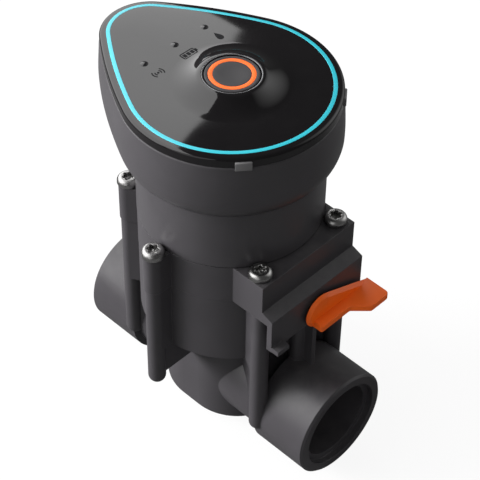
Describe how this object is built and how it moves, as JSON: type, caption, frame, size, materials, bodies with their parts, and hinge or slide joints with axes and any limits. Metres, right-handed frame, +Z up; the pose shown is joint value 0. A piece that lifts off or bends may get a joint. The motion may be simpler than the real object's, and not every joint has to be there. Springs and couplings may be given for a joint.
{
  "type": "irrigation valve",
  "caption": "In-line irrigation valve with female-threaded pipe ports, a screwed-down bonnet, a bleed lever and a battery control head with a push button.",
  "frame": {"origin": "middle of the inlet thread's mouth, 2.6 mm inside the inlet socket's face", "axes": "+X along the pipe axis from inlet to outlet, +Z up towards the control head"},
  "size_m": [0.1167, 0.0844, 0.1544],
  "materials": {
    "body_plastic": "moulded satin",
    "housing_plastic": "moulded satin",
    "lid_gloss": "polished",
    "cyan_plastic": "smooth",
    "orange_plastic": "moulded satin",
    "button_plastic": "fine texture",
    "bright_trim": "polished",
    "clear_plastic": "clear",
    "white_plastic": "moulded",
    "screw_steel": "brushed",
    "rubber_black": "matt",
    "magnet_steel": "turned",
    "copper_wire": "enamelled",
    "brass_metal": "turned",
    "board_green": "solder mask",
    "battery_metal": "printed can",
    "holder_plastic": "moulded"
  },
  "bodies": {
    "valve": {"valve_body": "body_plastic", "bonnet": "body_plastic", "bonnet_screws": "screw_steel", "diaphragm": "rubber_black", "diaphragm_spring": "magnet_steel", "solenoid_tube": "magnet_steel", "solenoid_screws": "screw_steel", "solenoid_seal": "rubber_black", "fixed_core": "magnet_steel", "plunger_spring": "magnet_steel", "coil_bobbin": "white_plastic", "coil_winding": "copper_wire", "coil_frame": "magnet_steel", "coil_nut": "screw_steel", "contact_post": "holder_plastic", "post_screws": "screw_steel", "contact_pins": "brass_metal", "coil_leads": "copper_wire", "housing": "housing_plastic", "housing_screws": "screw_steel", "housing_seal": "rubber_black"},
    "main_valve": {"diaphragm_plate": "white_plastic", "valve_guide": "white_plastic", "valve_bolt": "screw_steel"},
    "plunger": {"plunger": "magnet_steel", "plunger_seal": "rubber_black"},
    "control_head": {"lid": "lid_gloss", "cyan_trim": "cyan_plastic", "lid_seal": "rubber_black", "button_bezel": "bright_trim", "button_boot": "rubber_black", "tact_switch": "holder_plastic", "circuit_board": "board_green", "board_screws": "screw_steel", "leds": "clear_plastic", "light_guides": "clear_plastic", "battery": "battery_metal", "battery_clip": "brass_metal", "battery_holder": "holder_plastic", "contact_socket": "holder_plastic"},
    "button": {"button": "button_plastic", "button_ring": "orange_plastic", "switch_key": "white_plastic"},
    "catch_left": {"release_catch_left": "button_plastic"},
    "catch_right": {"release_catch_right": "button_plastic"},
    "bleed_lever": {"lever": "orange_plastic", "lever_spindle": "brass_metal", "spindle_seal": "rubber_black", "spindle_clip": "screw_steel"}
  },
  "joints": [
    {"name": "valve_lift", "type": "slide", "parent": "valve", "child": "main_valve", "axis": [0, 0, 1], "range_m": [0, 0.006], "stiffness_N_per_m": 250, "springref_m": -0.003, "deforming": ["diaphragm", "diaphragm_spring"]},
    {"name": "plunger_lift", "type": "slide", "parent": "valve", "child": "plunger", "axis": [0, 0, 1], "range_m": [0, 0.0015], "stiffness_N_per_m": 150, "springref_m": -0.002, "deforming": ["plunger_spring"]},
    {"name": "head_lift", "type": "slide", "parent": "valve", "child": "control_head", "axis": [0, 0, 1], "range_m": [0, 0.045]},
    {"name": "button_press", "type": "slide", "parent": "control_head", "child": "button", "axis": [0, 0, -1], "range_m": [0, 0.001], "stiffness_N_per_m": 600, "springref_m": -0.0008, "deforming": ["button_boot"]},
    {"name": "catch_left_press", "type": "slide", "parent": "control_head", "child": "catch_left", "axis": [-0.7694, -0.6388, 0], "range_m": [0, 0.001], "stiffness_N_per_m": 500, "springref_m": -0.0005},
    {"name": "catch_right_press", "type": "slide", "parent": "control_head", "child": "catch_right", "axis": [-0.7694, 0.6388, 0], "range_m": [0, 0.001], "stiffness_N_per_m": 500, "springref_m": -0.0005},
    {"name": "lever_turn", "type": "hinge", "parent": "valve", "child": "bleed_lever", "pos_m": [0.0966, 0, 0.0518], "axis": [1, 0, 0], "range_deg": [0, 180]}
  ]
}
